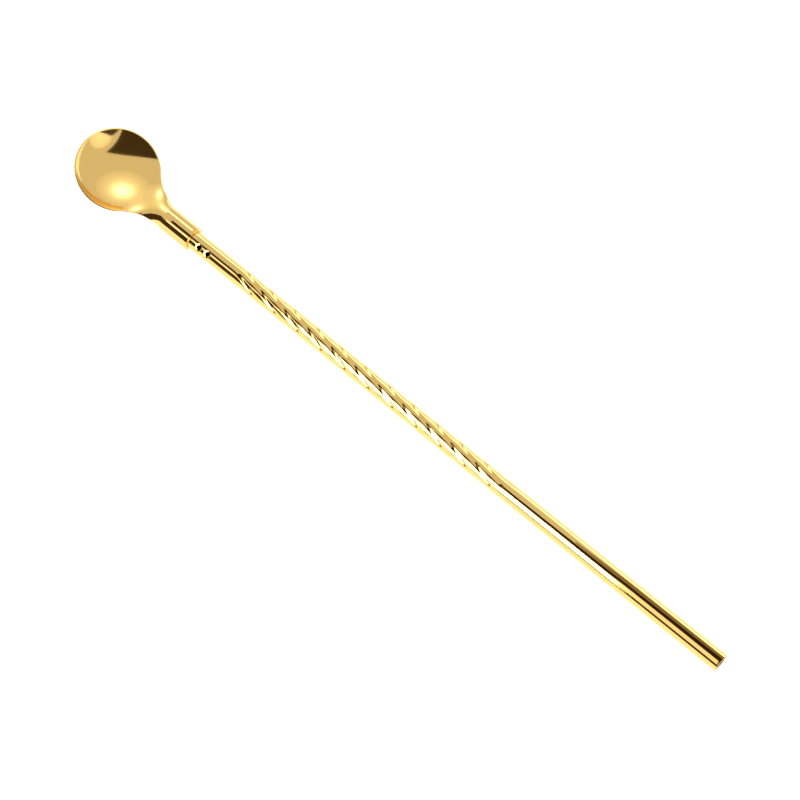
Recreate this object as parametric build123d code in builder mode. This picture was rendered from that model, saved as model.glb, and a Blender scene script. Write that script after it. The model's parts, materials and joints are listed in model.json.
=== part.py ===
"""A bar spoon whose stem is a drinking tube, with a spoon head that pushes onto one end.

+X runs along the stem, from the spoon head to the open end. +Z points out of the bowl.
The origin is under the middle of the spoon, level with the underside of the socket.
"""
from build123d import *
import os
from math import atan2, cos, pi, radians, sin, sqrt, tan

# Stem tube, mm
stem_radius = 3.0
stem_wall = 0.5
stem_exposed = 210.7
twist_start = 19.7
twist_length = 107.0
lobe_count = 6
lobe_spacing = 9.7
lobe_depth = 0.16
lobe_sharpness = 2
twist_step = 0.02
inlet_radius = 0.8
inlet_stations = (4.0, 7.6)
inlet_angle = 40.0
rim_break = 0.12

# Socket, mm
socket_radius = 4.0
socket_length = 14.5
socket_nose = 3.5
socket_bore_depth = 11.0
fit_clearance = 0.05
end_gap = 0.5

# Spoon bowl, mm and degrees
sheet = 0.6
rim_radius = 13.5
bowl_depth = 5.0
bowl_pitch = 17.8
bowl_offset = 32.1
bowl_rise = 7.1
tang_end = 12.0
flare_start = 9.5
flare_slope = -0.25

# Worked out from the driving dimensions
sphere_radius = (rim_radius**2 + bowl_depth**2) / (2 * bowl_depth)
bowl_outer_radius = rim_radius * (1 + sheet / sphere_radius)
pitch = radians(bowl_pitch)
edge_drop = sheet * (sphere_radius - bowl_depth) / sphere_radius
tip_reach = bowl_offset + bowl_outer_radius * cos(pitch) + edge_drop * sin(pitch)
mouth_x = (tip_reach - stem_exposed) / 2
open_end_x = mouth_x + stem_exposed
bore_radius = stem_radius + fit_clearance
stem_start_x = mouth_x - socket_bore_depth + end_gap
twist_angle = 360 * twist_length / (lobe_count * lobe_spacing)

# The stem's axis, the socket's mouth, and the middle of the bowl's rim
stem_axis_z = socket_radius
bowl_centre = (mouth_x - bowl_offset, 0, stem_axis_z + bowl_rise)
rim_plane = Plane(origin=bowl_centre, x_dir=(cos(pitch), 0, -sin(pitch)), z_dir=(sin(pitch), 0, cos(pitch)))


def cross_plane(x):
    """The plane square to the stem at x, centred on the stem's axis."""
    return Plane(origin=(x, 0, stem_axis_z), x_dir=(0, 1, 0), z_dir=(1, 0, 0))


def smooth_step(t):
    """0 below 0, 1 above 1, and a smooth rise between."""
    t = min(max(t, 0.0), 1.0)
    return t * t * (3 - 2 * t)


def hermite(t, start, start_slope, end, end_slope):
    """A cubic from start to end over t = 0 to 1, with the slope it has at each end."""
    rise = 3 * t**2 - 2 * t**3
    return (
        start * (1 - rise)
        + end * rise
        + start_slope * (t**3 - 2 * t**2 + t)
        + end_slope * (t**3 - t**2)
    )


def lobed_points(crest_radius):
    """Points round the twisted tube's section: broad round lobes with a narrow hollow between them."""
    points_per_lobe = 8
    points = []
    for step in range(lobe_count * points_per_lobe):
        angle = 2 * pi * step / (lobe_count * points_per_lobe)
        hollow = ((1 - cos(lobe_count * angle)) / 2) ** lobe_sharpness
        radius = crest_radius - lobe_depth * hollow
        points.append((radius * cos(angle), radius * sin(angle)))
    return points


# The rim's outline and the floor's centre line are given in the rim plane's own frame:
# u runs from the bowl's centre towards the socket, and v is the height above the rim plane.
def to_rim_frame(back_from_mouth, above_axis):
    """u and v of a point given by its distance behind the mouth and its height over the axis."""
    along = bowl_offset - back_from_mouth
    up = above_axis - bowl_rise
    return along * cos(pitch) - up * sin(pitch), along * sin(pitch) + up * cos(pitch)


tang_u, tang_v = to_rim_frame(tang_end, socket_radius)
tang_edge_u = tang_u + tang_v * tan(pitch)
tang_edge_drop = tang_v / cos(pitch)
tang_half_width = sqrt(socket_radius**2 - (socket_radius - tang_edge_drop) ** 2)


def rim_half_width(u):
    """Half the distance across the rim: a circle, then a flare in to the socket."""
    if u <= flare_start:
        return sqrt(rim_radius**2 - u**2)
    run = tang_edge_u - flare_start
    start = sqrt(rim_radius**2 - flare_start**2)
    start_slope = -flare_start / start
    return hermite((u - flare_start) / run, start, start_slope * run, tang_half_width, flare_slope * run)


def floor_height(u):
    """Height of the inside's centre line: the bowl's sphere, then an S-curve up to the socket's top."""
    if u <= flare_start:
        return sphere_radius - bowl_depth - sqrt(sphere_radius**2 - u**2)
    run = tang_u - flare_start
    start = sphere_radius - bowl_depth - sqrt(sphere_radius**2 - flare_start**2)
    start_slope = flare_start / sqrt(sphere_radius**2 - flare_start**2)
    return hermite((u - flare_start) / run, start, start_slope * run, tang_v, tan(pitch) * run)


def on_sphere(radius):
    """A point halfway up the bowl's wall, on the sphere of this radius."""
    halfway = atan2(rim_radius, sphere_radius - bowl_depth) / 2
    return radius * sin(halfway), sphere_radius - bowl_depth - radius * cos(halfway)


def sheet_section(half_width, sag, wall):
    """A slice of curved sheet: an arc through the floor at 0 and both edges at sag, and its offset."""
    radius = (half_width**2 + sag**2) / (2 * sag)
    edge = Vector(half_width, sag)
    outer_edge = edge + Vector(half_width / radius, (sag - radius) / radius) * wall
    ThreePointArc((-edge.X, edge.Y), (0, 0), (edge.X, edge.Y))
    Line((edge.X, edge.Y), (outer_edge.X, outer_edge.Y))
    ThreePointArc((outer_edge.X, outer_edge.Y), (0, -wall), (-outer_edge.X, outer_edge.Y))
    Line((-outer_edge.X, outer_edge.Y), (-edge.X, edge.Y))


def neck_station(u):
    """Plane, half width, sag and wall of the slice whose floor point is at u."""
    v = floor_height(u)
    lean = pitch * smooth_step((u - flare_start) / (tang_u - flare_start))
    rise = floor_height(u + 0.01) - floor_height(u - 0.01)
    slope = atan2(rise, 0.02) - lean
    sag = -v / cos(lean)
    half_width = rim_half_width(u + v * tan(lean))
    tilt = pitch - lean
    floor_point = rim_plane.from_local_coords(Vector(u, 0, v))
    plane = Plane(origin=floor_point, x_dir=(0, 1, 0), z_dir=(cos(tilt), 0, -sin(tilt)))
    return plane, half_width, sag, sheet / cos(slope)


# Spoon bowl: the tip half is a half-turn of the bowl's wall, and the neck half is a loft of slices
# that open from the bowl's deep arc through flat to the socket's own round top.
neck_stations = [0, 3, 6, flare_start, 11.2, 12.9, 15.3, 17.0, 18.6, tang_u]

with BuildPart() as tip_half:
    with BuildSketch(Plane(origin=bowl_centre, x_dir=(0, 1, 0), z_dir=rim_plane.x_dir)):
        with BuildLine():
            ThreePointArc((0, -bowl_depth), on_sphere(sphere_radius), (rim_radius, 0))
            Line((rim_radius, 0), (bowl_outer_radius, -edge_drop))
            ThreePointArc(
                (bowl_outer_radius, -edge_drop), on_sphere(sphere_radius + sheet), (0, -bowl_depth - sheet)
            )
            Line((0, -bowl_depth - sheet), (0, -bowl_depth))
        make_face()
    revolve(axis=Axis(bowl_centre, tuple(rim_plane.z_dir)), revolution_arc=180)

with BuildPart() as neck_half:
    for station in neck_stations:
        section_plane, section_width, section_sag, section_wall = neck_station(station)
        with BuildSketch(section_plane):
            with BuildLine():
                sheet_section(section_width, section_sag, section_wall)
            make_face()
    loft()

with BuildPart() as spoon_bowl:
    add(tip_half.part)
    add(neck_half.part)

# Socket: a short turned sleeve with a rounded closed nose. The bowl's tang lies in a seat in its top.
with BuildPart() as socket:
    with BuildSketch(cross_plane(mouth_x - socket_length)):
        Circle(socket_radius)
    extrude(amount=socket_length)
    nose_edge = socket.edges().filter_by(GeomType.CIRCLE).sort_by(Axis.X)[0]
    fillet(nose_edge, socket_nose)
    with BuildSketch(cross_plane(mouth_x)):
        Circle(bore_radius)
    extrude(amount=-socket_bore_depth, mode=Mode.SUBTRACT)
    mouth_edges = socket.edges().filter_by(GeomType.CIRCLE).group_by(Axis.X)[-1]
    chamfer(mouth_edges, rim_break)
    add(spoon_bowl.part, mode=Mode.SUBTRACT)

# Stem tube: plain where it enters the socket, twisted along the middle, plain to the open end.
# The twist is a lobed hollow section that turns as it is extruded, a right-hand screw along +X.
twist_x = mouth_x + twist_start
with BuildSketch(cross_plane(twist_x)) as twist_outline:
    with BuildLine():
        Spline(*lobed_points(stem_radius - twist_step), periodic=True)
    make_face()

with BuildSketch(cross_plane(twist_x)) as twist_hollow:
    with BuildLine():
        Spline(*lobed_points(stem_radius - stem_wall + twist_step), periodic=True)
    make_face()

twist = Solid.extrude_linear_with_rotation(
    twist_outline.sketch.faces()[0].outer_wire(),
    center=(twist_x, 0, stem_axis_z),
    normal=(twist_length, 0, 0),
    angle=twist_angle,
    inner_wires=[twist_hollow.sketch.faces()[0].outer_wire()],
)

with BuildPart() as stem_tube:
    for run_start, run_end in ((stem_start_x, twist_x), (twist_x + twist_length, open_end_x)):
        with BuildSketch(cross_plane(run_start)):
            Circle(stem_radius)
            Circle(stem_radius - stem_wall, mode=Mode.SUBTRACT)
        extrude(amount=run_end - run_start)
    end_edges = stem_tube.edges().filter_by(GeomType.CIRCLE).group_by(Axis.X)
    chamfer(end_edges[0] + end_edges[-1], rim_break)
    for inlet in inlet_stations:
        lean = radians(inlet_angle)
        drill_direction = (0, -sin(lean), cos(lean))
        inlet_plane = Plane(origin=(mouth_x + inlet, 0, stem_axis_z), x_dir=(1, 0, 0), z_dir=drill_direction)
        with BuildSketch(inlet_plane):
            Circle(inlet_radius)
        extrude(amount=2 * stem_radius, both=True, mode=Mode.SUBTRACT)
    add(twist)

pieces = {"spoon_bowl": spoon_bowl, "socket": socket, "stem_tube": stem_tube}
os.makedirs("parts", exist_ok=True)
for name, piece in pieces.items():
    piece.part.label = name
    export_step(piece.part, f"parts/{name}.step")
    box = piece.part.bounding_box()
    print(name, "volume", round(piece.part.volume, 1), "from", box.min, "to", box.max)
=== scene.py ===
"""Looks for the bar spoon: polished gold-coloured metal, in a bright studio."""
import json
from math import asin, atan2, cos, pi, radians, sin, sqrt, tan

import bmesh
import bpy
import numpy as np
from mathutils import Matrix, Vector


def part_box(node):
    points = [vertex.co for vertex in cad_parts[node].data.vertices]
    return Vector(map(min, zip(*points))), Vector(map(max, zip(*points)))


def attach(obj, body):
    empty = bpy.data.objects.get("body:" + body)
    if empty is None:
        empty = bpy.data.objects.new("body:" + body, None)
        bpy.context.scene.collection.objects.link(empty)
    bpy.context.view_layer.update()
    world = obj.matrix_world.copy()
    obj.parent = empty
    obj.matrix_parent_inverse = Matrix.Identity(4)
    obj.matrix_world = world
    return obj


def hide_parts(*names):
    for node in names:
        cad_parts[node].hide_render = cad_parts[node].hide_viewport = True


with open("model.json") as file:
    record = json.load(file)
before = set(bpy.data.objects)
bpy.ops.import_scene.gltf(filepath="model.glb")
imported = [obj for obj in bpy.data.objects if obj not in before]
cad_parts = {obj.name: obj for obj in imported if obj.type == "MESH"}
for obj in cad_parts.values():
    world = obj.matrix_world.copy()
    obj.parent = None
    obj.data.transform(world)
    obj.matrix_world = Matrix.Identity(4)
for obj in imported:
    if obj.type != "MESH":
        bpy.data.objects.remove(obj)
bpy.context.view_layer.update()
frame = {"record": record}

MM = 0.001

# Places from the frame, in metres
record = frame["record"]
mounts = {mount["name"]: mount for mount in record["mounts"]}
socket_low, socket_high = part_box("socket")
stem_low, stem_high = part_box("stem_tube")
bowl_low, bowl_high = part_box("spoon_bowl")
axis_z = mounts["open_end_bore"]["pos_m"][2]
mouth_x = socket_high.x
open_end_x = stem_high.x
stem_radius = mounts["open_end_outside"]["dims"]["r_mm"] * MM
bore_radius = mounts["open_end_bore"]["dims"]["r_mm"] * MM
socket_radius = (socket_high.y - socket_low.y) / 2

# The spoon's own sizes, metres and radians
twist_start = mouth_x + 17.7 * MM
twist_end = mouth_x + 128.7 * MM
twist_fade = 5.0 * MM
lobe_count = 6
lobe_spacing = 9.7 * MM
lobe_depth = 0.16 * MM
lobe_sharpness = 2.5
inlet_stations = (mouth_x + 4.0 * MM, mouth_x + 7.6 * MM)
inlet_angle = radians(40)
inlet_radius = 0.8 * MM
inlet_dish_radius = 1.3 * MM
inlet_dish_depth = 0.16 * MM
socket_nose = 3.5 * MM
socket_bore = 3.05 * MM
socket_depth = 11.0 * MM
edge_round = 0.12 * MM
sheet = 0.6 * MM
rim_radius = 13.4 * MM
bowl_depth = 5.0 * MM
bowl_pitch = radians(17.8)
bowl_offset = 32.1 * MM
bowl_rise = 7.1 * MM
tang_end = 12.0 * MM
flare_start = 9.5 * MM
flare_slope = -0.25
rim_swell = 0.14 * MM
tang_sink = 0.03 * MM
tang_past_end = 1.2 * MM
tang_narrowing = 0.1
sphere_radius = (rim_radius**2 + bowl_depth**2) / (2 * bowl_depth)

# The camera's place: the stem's tilt away from square to the view, the camera's roll about the stem,
# the stem's slope in the picture, then distance, lens and aim
stem_tilt = radians(14.5)
roll = radians(20)
image_slope = radians(38.75)
camera_distance = 0.7347
lens = 108.0
aim_x = 2.4 * MM
aim_side = 1.25 * MM


def smooth_step(t):
    """0 below 0, 1 above 1, and a smooth rise between."""
    t = np.clip(t, 0.0, 1.0)
    return t * t * (3 - 2 * t)


def hermite(t, start, start_slope, end, end_slope):
    """A cubic from start to end over t = 0 to 1, with the slope it has at each end."""
    rise = 3 * t**2 - 2 * t**3
    return (
        start * (1 - rise)
        + end * rise
        + start_slope * (t**3 - 2 * t**2 + t)
        + end_slope * (t**3 - t**2)
    )


# ---------------------------------------------------------------- meshes
def mesh_object(name, vertices, faces, merge=1e-7):
    """A smooth mesh object from points in metres. Points that coincide are joined."""
    mesh = bpy.data.meshes.new(name)
    mesh.from_pydata([tuple(v) for v in vertices], [], faces)
    mesh.validate()
    piece = bpy.data.objects.new(name, mesh)
    bpy.context.scene.collection.objects.link(piece)
    weld = piece.modifiers.new("weld", "WELD")
    weld.merge_threshold = merge
    apply_modifiers(piece)
    for polygon in piece.data.polygons:
        polygon.use_smooth = True
    return piece


def apply_modifiers(piece):
    """Replaces the piece's mesh with what its modifiers make of it."""
    evaluated = piece.evaluated_get(bpy.context.evaluated_depsgraph_get())
    mesh = bpy.data.meshes.new_from_object(evaluated)
    piece.modifiers.clear()
    old = piece.data
    piece.data = mesh
    bpy.data.meshes.remove(old)


def grid_faces(rows, columns, first=0, wrap=False):
    """Quads between neighbouring points of a grid stored row by row."""
    faces = []
    for i in range(rows - 1):
        for j in range(columns if wrap else columns - 1):
            a = first + i * columns + j
            b = first + i * columns + (j + 1) % columns
            faces.append((a, b, b + columns, a + columns))
    return faces


def ring(x, radii, angles):
    """Points round the stem's axis at x."""
    return np.stack([np.full(len(angles), x), radii * np.cos(angles), axis_z + radii * np.sin(angles)], 1)


def lathe(name, profile, around):
    """A closed surface of revolution about the stem's axis, from (x, radius) pairs."""
    angles = np.linspace(0, 2 * pi, around, endpoint=False)
    rows = [ring(x, np.full(around, radius), angles) for x, radius in profile]
    rows.append(rows[0])
    return mesh_object(name, np.concatenate(rows), grid_faces(len(rows), around, wrap=True))


def corner(centre_x, centre_r, radius, start, end, steps):
    """Points of a rounded corner in a profile, from one angle to another, in degrees."""
    turns = np.radians(np.linspace(start, end, steps))
    return [(centre_x + radius * cos(a), centre_r + radius * sin(a)) for a in turns]


# ---------------------------------------------------------------- stem tube
def lobe_hollow(x, angles):
    """How far the twisted wall lies inside the plain tube."""
    fade = smooth_step((x - twist_start) / twist_fade) * smooth_step((twist_end - x) / twist_fade)
    turn = 2 * pi * (x - twist_start) / (lobe_count * lobe_spacing)
    hollow = ((1 - np.cos(lobe_count * (angles - turn))) / 2) ** lobe_sharpness
    return fade * lobe_depth * hollow


def inlet_dish(x, angles):
    """The shallow dish that drilling and polishing leave round each inlet hole."""
    depth = np.zeros(len(angles))
    for side in (0, pi):
        across = (angles - (pi / 2 + inlet_angle + side) + pi) % (2 * pi) - pi
        for inlet in inlet_stations:
            distance = np.hypot(across * stem_radius, x - inlet)
            share = 1 - (distance - inlet_radius) / (inlet_dish_radius - inlet_radius)
            depth = np.maximum(depth, inlet_dish_depth * smooth_step(share))
    return depth


def stem_stations():
    """Where the tube's rings lie: close together in the twist and at the inlets, wide elsewhere."""
    start = stem_low.x + edge_round
    end = open_end_x - edge_round
    inlet_margin = 2 * MM
    inlet_low = inlet_stations[0] - inlet_margin
    inlet_high = inlet_stations[1] + inlet_margin
    parts = [
        np.linspace(start, inlet_low, 12, endpoint=False),
        np.linspace(inlet_low, inlet_high, 110, endpoint=False),
        np.linspace(inlet_high, twist_start, 10, endpoint=False),
        np.linspace(twist_start, twist_end, 560, endpoint=False),
        np.linspace(twist_end, end, 24),
    ]
    return np.concatenate(parts)


def build_stem():
    """The tube: its outside, the rounded open end, its bore, and the inlet holes."""
    around = 192
    angles = np.linspace(0, 2 * pi, around, endpoint=False)
    wall_middle = (stem_radius + bore_radius) / 2
    rows = []
    for x in stem_stations():
        radii = stem_radius - lobe_hollow(x, angles) - inlet_dish(x, angles)
        rows.append(ring(x, radii, angles))
    round_x = open_end_x - edge_round
    for x, radius in corner(round_x, stem_radius - edge_round, edge_round, 90, 0, 6)[1:]:
        rows.append(ring(x, np.full(around, radius), angles))
    for x, radius in corner(round_x, bore_radius + edge_round, edge_round, 0, -90, 6):
        rows.append(ring(x, np.full(around, radius), angles))
    for x in stem_stations()[::-3]:
        rows.append(ring(x, bore_radius - lobe_hollow(x, angles), angles))
    rows.append(ring(stem_low.x, np.full(around, wall_middle), angles))
    rows.append(rows[0])
    stem = mesh_object("stem", np.concatenate(rows), grid_faces(len(rows), around, wrap=True))
    for inlet in inlet_stations:
        drill_through(stem, inlet)
    return stem


def drill_through(stem, x):
    """Cuts an inlet hole through both walls of the tube."""
    bpy.ops.mesh.primitive_cylinder_add(vertices=64, radius=inlet_radius, depth=4 * stem_radius)
    drill = bpy.context.object
    drill.matrix_world = Matrix.Translation((x, 0, axis_z)) @ Matrix.Rotation(inlet_angle, 4, "X")
    cut = stem.modifiers.new("inlet", "BOOLEAN")
    cut.operation = "DIFFERENCE"
    cut.solver = "EXACT"
    cut.object = drill
    apply_modifiers(stem)
    bpy.data.objects.remove(drill)
    stem.data.set_sharp_from_angle(angle=radians(35))


# ---------------------------------------------------------------- socket
def build_socket():
    """The sleeve: a round closed nose, a rounded mouth, and its blind bore."""
    nose_x = socket_low.x
    inside_x = mouth_x - socket_depth
    straight = np.linspace(nose_x + socket_nose, mouth_x - edge_round, 8)[1:-1]
    profile = [(nose_x, 0.0)]
    profile += corner(nose_x + socket_nose, socket_radius - socket_nose, socket_nose, 180, 90, 40)
    profile += [(x, socket_radius) for x in straight]
    profile += corner(mouth_x - edge_round, socket_radius - edge_round, edge_round, 90, 0, 6)
    profile += corner(mouth_x - edge_round, socket_bore + edge_round, edge_round, 0, -90, 6)
    profile += [(inside_x, socket_bore), (inside_x, 0.0)]
    return lathe("socket_sleeve", profile, 160)


# ---------------------------------------------------------------- spoon bowl
# u runs in the rim plane from the bowl's centre towards the socket, and v is the height above it.
def to_rim_frame(back_from_mouth, above_axis):
    """u and v of a point given by its distance behind the mouth and its height over the axis."""
    along = bowl_offset - back_from_mouth
    up = above_axis - bowl_rise
    return along * cos(bowl_pitch) - up * sin(bowl_pitch), along * sin(bowl_pitch) + up * cos(bowl_pitch)


tang_u, tang_v = to_rim_frame(tang_end, socket_radius)
tang_edge_u = tang_u + tang_v * tan(bowl_pitch)
tang_edge_drop = tang_v / cos(bowl_pitch)
tang_half_width = sqrt(socket_radius**2 - (socket_radius - tang_edge_drop) ** 2)


def rim_half_width(u):
    """Half the distance across the rim: a circle, then a flare in to the socket."""
    if u <= flare_start:
        return sqrt(rim_radius**2 - u**2)
    run = tang_edge_u - flare_start
    start = sqrt(rim_radius**2 - flare_start**2)
    share = min((u - flare_start) / run, 1)
    return hermite(share, start, -flare_start / start * run, tang_half_width, flare_slope * run)


def floor_height(u):
    """Height of the inside's centre line: the bowl's sphere, then an S-curve up to the socket's top."""
    if u <= flare_start:
        return sphere_radius - bowl_depth - sqrt(sphere_radius**2 - u**2)
    run = tang_u - flare_start
    start = sphere_radius - bowl_depth - sqrt(sphere_radius**2 - flare_start**2)
    slope = flare_start / sqrt(sphere_radius**2 - flare_start**2)
    return hermite((u - flare_start) / run, start, slope * run, tang_v, tan(bowl_pitch) * run)


def from_rim_frame(u, side, v):
    """A point of the rim plane's frame, in the row frame."""
    x = mouth_x - bowl_offset + u * cos(bowl_pitch) + v * sin(bowl_pitch)
    z = axis_z + bowl_rise - u * sin(bowl_pitch) + v * cos(bowl_pitch)
    return np.array([x, side, z])


def arc_points(half_width, sag, shares):
    """Points across an arc through the floor and both edges: side and height over the floor."""
    flat = 1e-7
    if abs(sag) < flat:
        return [(half_width * s, 0.0) for s in shares]
    radius = (half_width**2 + sag**2) / (2 * sag)
    reach = 2 * atan2(sag, half_width)
    return [(radius * sin(reach * s), radius * (1 - cos(reach * s))) for s in shares]


def neck_row(u, shares):
    """One slice across the neck half of the inside, from edge to edge."""
    v = floor_height(u)
    lean = bowl_pitch * smooth_step((u - flare_start) / (tang_u - flare_start))
    half_width = rim_half_width(u + v * tan(lean))
    row = []
    for side, height in arc_points(half_width, -v / cos(lean), shares):
        row.append(from_rim_frame(u - height * sin(lean), side, v + height * cos(lean)))
    return row


def tang_row(along, shares):
    """A slice of the tang past its end, sinking into the socket's round top."""
    radius = socket_radius - tang_sink * along
    reach = asin(tang_half_width / socket_radius) * (1 - tang_narrowing * along)
    x = mouth_x - tang_end + along * tang_past_end
    return [np.array([x, radius * sin(reach * s), axis_z + radius * cos(reach * s)]) for s in shares]


def tip_row(turn, shares):
    """A ray of the tip half of the inside, from the middle of the floor to the rim."""
    reach = asin(rim_radius / sphere_radius)
    row = []
    for share in shares:
        out = sphere_radius * sin(reach * share)
        v = sphere_radius - bowl_depth - sphere_radius * cos(reach * share)
        row.append(from_rim_frame(-out * sin(turn), out * cos(turn), v))
    return row


def grid_normals(points):
    """Unit normals of a grid of points, by differences along both directions."""
    along = np.gradient(points, axis=0)
    across = np.gradient(points, axis=1)
    normal = np.cross(along, across)
    return normal / np.maximum(np.linalg.norm(normal, axis=2, keepdims=True), 1e-12)


def build_bowl():
    """The pressed sheet: its inside as a polar and a sliced half, its offset outside, and a round edge."""
    half = 72
    shares = np.linspace(-1, 1, 2 * half + 1)
    bowl_u = np.linspace(0, flare_start, 60, endpoint=False)
    neck_u = np.concatenate([bowl_u, np.linspace(flare_start, tang_u, 110)])
    neck_rows = [neck_row(u, shares) for u in neck_u]
    neck_rows += [tang_row(along, shares) for along in np.linspace(0, 1, 9)[1:]]
    neck = np.array(neck_rows)
    turns = np.linspace(0, pi, 181)
    tip = np.array([tip_row(turn, shares[half:]) for turn in turns])
    neck_normals = grid_normals(neck)
    sphere_centre = from_rim_frame(0, 0, sphere_radius - bowl_depth)
    tip_normals = (sphere_centre - tip) / sphere_radius
    neck_normals[0] = (sphere_centre - neck[0]) / sphere_radius

    vertices = []
    faces = []

    def add_grid(points, flip):
        first = sum(len(v) for v in vertices)
        rows, columns = points.shape[:2]
        vertices.append(points.reshape(-1, 3))
        quads = grid_faces(rows, columns, first)
        faces.extend([q[::-1] for q in quads] if flip else quads)

    add_grid(neck, False)
    add_grid(neck - sheet * neck_normals, True)
    add_grid(tip, True)
    add_grid(tip - sheet * tip_normals, False)
    rim = rim_line(neck, tip)
    rim_normals = rim_line(neck_normals, tip_normals)
    add_grid(rim_edge(rim, rim_normals, sphere_centre), False)
    bowl = mesh_object("bowl", np.concatenate(vertices), faces, merge=2e-6)
    fix_normals(bowl)
    return bowl


def rim_line(neck, tip):
    """The edge values of both grids, all round from one side of the tang to the other."""
    return np.concatenate([neck[::-1, 0], tip[::-1, -1][1:-1], neck[:, -1]])


def rim_edge(rim, rim_normals, sphere_centre):
    """The cut edge of the sheet, swelling a little at its middle."""
    forward = np.gradient(rim, axis=0)
    forward /= np.linalg.norm(forward, axis=1, keepdims=True)
    outward = np.cross(forward, rim_normals)
    outward /= np.linalg.norm(outward, axis=1, keepdims=True)
    middle = len(rim) // 2
    if np.dot(outward[middle], rim[middle] - sphere_centre) < 0:
        outward = -outward
    across = np.linspace(0, 1, 13)
    swell = rim_swell * (1 - np.abs(2 * across - 1) ** 3.0)
    rows = []
    for point, normal, out in zip(rim, rim_normals, outward):
        rows.append([point - sheet * a * normal + s * out for a, s in zip(across, swell)])
    return np.array(rows)


def fix_normals(piece):
    """Points every face outwards."""
    shell = bmesh.new()
    shell.from_mesh(piece.data)
    bmesh.ops.recalc_face_normals(shell, faces=shell.faces)
    shell.to_mesh(piece.data)
    shell.free()


# ---------------------------------------------------------------- materials
def gold(name, colour, roughness, wave_scale, wave_height):
    """Mirror-polished gold-coloured plating with faint waves, and patches a little softer or darker."""
    patch_scale = 90.0
    tint_spread = 0.03
    softest = 1.4
    sharpest = 0.7
    material = bpy.data.materials.new(name)
    material.use_nodes = True
    nodes = material.node_tree.nodes
    links = material.node_tree.links
    shader = nodes["Principled BSDF"]
    shader.inputs["Metallic"].default_value = 1.0
    place = nodes.new("ShaderNodeTexCoord")
    patches = nodes.new("ShaderNodeTexNoise")
    patches.inputs["Scale"].default_value = patch_scale
    patches.inputs["Detail"].default_value = 4.0
    links.new(place.outputs["Object"], patches.inputs["Vector"])
    tint = nodes.new("ShaderNodeValToRGB")
    tint.color_ramp.elements[0].color = (*[c * (1 - tint_spread) for c in colour], 1)
    tint.color_ramp.elements[1].color = (*[min(1, c * (1 + tint_spread)) for c in colour], 1)
    links.new(patches.outputs["Fac"], tint.inputs["Fac"])
    links.new(tint.outputs["Color"], shader.inputs["Base Color"])
    gloss = nodes.new("ShaderNodeMapRange")
    gloss.inputs["To Min"].default_value = roughness * sharpest
    gloss.inputs["To Max"].default_value = roughness * softest
    links.new(patches.outputs["Fac"], gloss.inputs["Value"])
    links.new(gloss.outputs["Result"], shader.inputs["Roughness"])
    waves = nodes.new("ShaderNodeTexNoise")
    waves.inputs["Scale"].default_value = wave_scale
    waves.inputs["Detail"].default_value = 2.0
    links.new(place.outputs["Object"], waves.inputs["Vector"])
    bump = nodes.new("ShaderNodeBump")
    bump.inputs["Strength"].default_value = 1.0
    bump.inputs["Distance"].default_value = wave_height
    links.new(waves.outputs["Fac"], bump.inputs["Height"])
    links.new(bump.outputs["Normal"], shader.inputs["Normal"])
    return material


gold_colour = (0.87, 0.58, 0.19)
polish = 0.07
bowl_polish = 0.09
tube_wave_scale = 400.0
bowl_wave_scale = 200.0
wave_height = 0.002 * MM
stem = build_stem()
socket = build_socket()
bowl = build_bowl()
stem.data.materials.append(gold("stem gold", gold_colour, polish, tube_wave_scale, wave_height))
socket.data.materials.append(gold("socket gold", gold_colour, polish, tube_wave_scale, wave_height))
bowl.data.materials.append(gold("bowl gold", gold_colour, bowl_polish, bowl_wave_scale, wave_height))

for piece, body, node, slot in (
    (stem, "stem", "stem_tube", "stem_gold"),
    (socket, "head", "socket", "socket_gold"),
    (bowl, "head", "spoon_bowl", "bowl_gold"),
):
    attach(piece, body)
    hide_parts(node)


# ---------------------------------------------------------------- camera
def view_axes():
    """The camera's right, up and back, and the sideways direction square to the stem in its view."""
    along = Vector((cos(stem_tilt), sin(roll) * sin(stem_tilt), -cos(roll) * sin(stem_tilt)))
    across = Vector((0, cos(roll), sin(roll)))
    back = Vector((sin(stem_tilt), -sin(roll) * cos(stem_tilt), cos(roll) * cos(stem_tilt)))
    right = cos(image_slope) * along + sin(image_slope) * across
    up = -sin(image_slope) * along + cos(image_slope) * across
    return right, up, back, across


def add_camera():
    """The main view's camera, aimed near the middle of the spoon."""
    right, up, back, across = view_axes()
    camera = bpy.data.objects.new("camera", bpy.data.cameras.new("camera"))
    bpy.context.scene.collection.objects.link(camera)
    place = Vector((aim_x, 0, axis_z)) + aim_side * across + camera_distance * back
    camera.matrix_world = Matrix.Translation(place) @ Matrix((right, up, back)).transposed().to_4x4()
    camera.data.lens = lens
    camera.data.sensor_width = 36.0
    camera.data.clip_start = 0.01
    bpy.context.scene.camera = camera


# ---------------------------------------------------------------- studio
def plain_material(name, level, glow, tint=(1, 1, 1, 1)):
    """A matt surface that also glows evenly."""
    material = bpy.data.materials.new(name)
    material.use_nodes = True
    shader = material.node_tree.nodes["Principled BSDF"]
    shader.inputs["Base Color"].default_value = (level, level, level, 1)
    shader.inputs["Roughness"].default_value = 1.0
    shader.inputs["Specular IOR Level"].default_value = 0.0
    shader.inputs["Emission Color"].default_value = tint
    shader.inputs["Emission Strength"].default_value = glow
    return material


def add_floor():
    """A plain pale sheet under everything."""
    bpy.ops.mesh.primitive_plane_add(size=floor_size)
    floor = bpy.context.object
    floor.name = "floor"
    floor.data.materials.append(plain_material("floor paper", floor_paper, floor_glow))


def add_room():
    """An even pale room."""
    world = bpy.data.worlds.new("studio")
    bpy.context.scene.world = world
    world.use_nodes = True
    background = world.node_tree.nodes["Background"]
    background.inputs["Color"].default_value = (1, 1, 1, 1)
    background.inputs["Strength"].default_value = room_level


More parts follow.
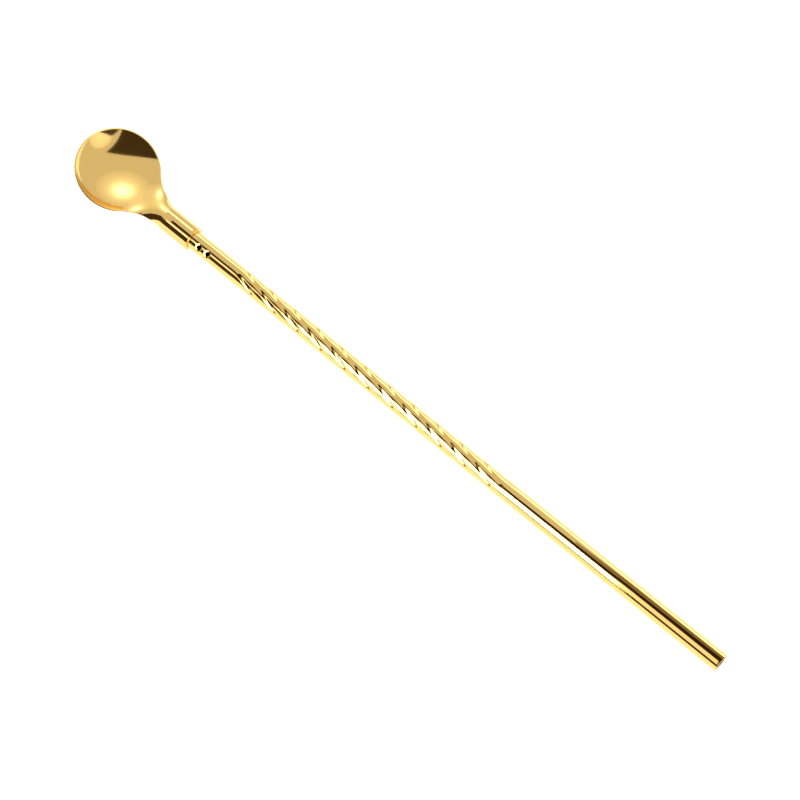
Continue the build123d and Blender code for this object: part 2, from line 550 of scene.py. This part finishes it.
def on_drum(x, angle, distance):
    """A point round the stem: x along it, degrees from straight up towards +Y, and distance from its axis."""
    turn = radians(angle)
    return Vector((x, distance * sin(turn), axis_z + distance * cos(turn)))


def add_flag(name, distance, level, edges):
    """A dark curved card beside the stem, for the metal to reflect. edges lists x with its two angles."""
    rows = 12
    stations = np.linspace(edges[0][0], edges[-1][0], 25)
    low = np.interp(stations, [e[0] for e in edges], [e[1] for e in edges])
    high = np.interp(stations, [e[0] for e in edges], [e[2] for e in edges])
    vertices = []
    for x, angle_low, angle_high in zip(stations, low, high):
        for angle in np.linspace(angle_low, angle_high, rows + 1):
            vertices.append(on_drum(x, angle, distance))
    mesh = bpy.data.meshes.new(name)
    mesh.from_pydata(vertices, [], grid_faces(len(stations), rows + 1))
    flag = bpy.data.objects.new(name, mesh)
    bpy.context.scene.collection.objects.link(flag)
    flag.data.materials.append(plain_material(name, 0.0, level, flag_tint))
    flag.visible_camera = False
    flag.visible_shadow = False
    flag.visible_diffuse = False


def add_light(name, place, aim, shape, size, level, receivers):
    """A soft panel that the camera doesn't see and that lights only its receivers. level is nominal."""
    light = bpy.data.lights.new(name, "AREA")
    light.shape = shape
    light.size = size[0]
    light.size_y = size[1]
    fill = pi / 4 if shape == "ELLIPSE" else 1
    light.energy = level * pi * size[0] * size[1] * fill
    panel = bpy.data.objects.new(name, light)
    bpy.context.scene.collection.objects.link(panel)
    back = (place - aim).normalized()
    along = Vector((1, 0, 0))
    across = back.cross(along).normalized()
    along = across.cross(back)
    panel.matrix_world = Matrix.Translation(place) @ Matrix((along, across, back)).transposed().to_4x4()
    panel.visible_camera = False
    lit = bpy.data.collections.new(name + "_lights")
    for piece in receivers:
        lit.objects.link(piece)
    panel.light_linking.receiver_collection = lit


def add_strip(name, level, x_low, x_high, angle_low, angle_high, receivers):
    """A long soft panel beside the stem, between two angles about it."""
    middle = (x_low + x_high) / 2
    place = on_drum(middle, (angle_low + angle_high) / 2, strip_distance)
    width = 2 * strip_distance * tan(radians(angle_high - angle_low) / 2)
    aim = Vector((middle, 0, axis_z))
    add_light(name, place, aim, "RECTANGLE", (x_high - x_low, width), level, receivers)


def add_disc(name, level, direction, spread, receivers):
    """A round soft panel seen from the middle of the bowl, spread degrees to each side."""
    place = bowl_middle + Vector(direction).normalized() * disc_distance
    size = 2 * disc_distance * tan(radians(spread))
    add_light(name, place, bowl_middle, "ELLIPSE", (size, size), level, receivers)


# Studio sizes in metres, brightnesses, and the two directions from the bowl that its highlights lie in
flag_tint = (1.0, 0.72, 0.45, 1)
floor_size = 4.0
floor_paper = 0.9
floor_glow = 0.75
room_level = 0.8
strip_distance = 0.25
disc_distance = 0.3
line_distance = 0.02
wall_distance = 0.27
bowl_middle = Vector((mouth_x - bowl_offset, 0, axis_z + bowl_rise))
highlight_direction = (-0.33, 0.54, 0.774)
end_patch_direction = (0.97, -0.03, 0.2)
# Discs stacked on one another, as degrees of spread and level, so that the glow fades outwards
highlight_discs = ((8, 2.5), (11, 2.0), (14, 1.4), (18, 0.8), (22, 0.5), (27, 0.3), (32, 0.2), (38, 0.12))
end_patch_discs = ((5, 0.6), (9, 0.5), (13, 0.5), (17, 0.4), (21, 0.3))

add_camera()
add_floor()
add_room()
add_strip("white_strip", 7.0, -0.12, 0.055, -77, -31, (stem,))
add_strip("neck_strip", 2.4, -0.19, -0.12, -46, -37, (stem, socket))
add_strip("end_strip", 1.2, 0.055, 0.14, -63, -20, (stem,))
add_strip("upper_strip", 2.8, -0.22, 0.0, 54, 69, (stem,))
add_strip("upper_end_strip", 2.2, 0.0, 0.16, 58, 80, (stem,))
add_strip("socket_strip", 2.6, -0.26, -0.16, 34, 47, (socket,))
for spread, level in highlight_discs:
    add_disc("bowl_light", level, highlight_direction, spread, (bowl,))
for spread, level in end_patch_discs:
    add_disc("bowl_end_light", level, end_patch_direction, spread, (bowl,))
add_flag(
    "dark_wall", wall_distance, 0.06,
    [(-0.45, -88, -70), (-0.338, -88, -56), (-0.106, -88, -29), (0.185, -88, 8)],
)
add_flag(
    "dark_line", line_distance, 0.03,
    [(-0.097, -27, -7), (-0.02, -22, -6), (0.05, -16, -5), (0.09, -14, 8), (0.13, -13, 24)],
)
add_flag("brown_gap", line_distance, 0.3, [(0.07, 8, 20), (0.09, 8, 45), (0.14, 24, 60)])
bpy.context.scene.view_settings.view_transform = "Standard"
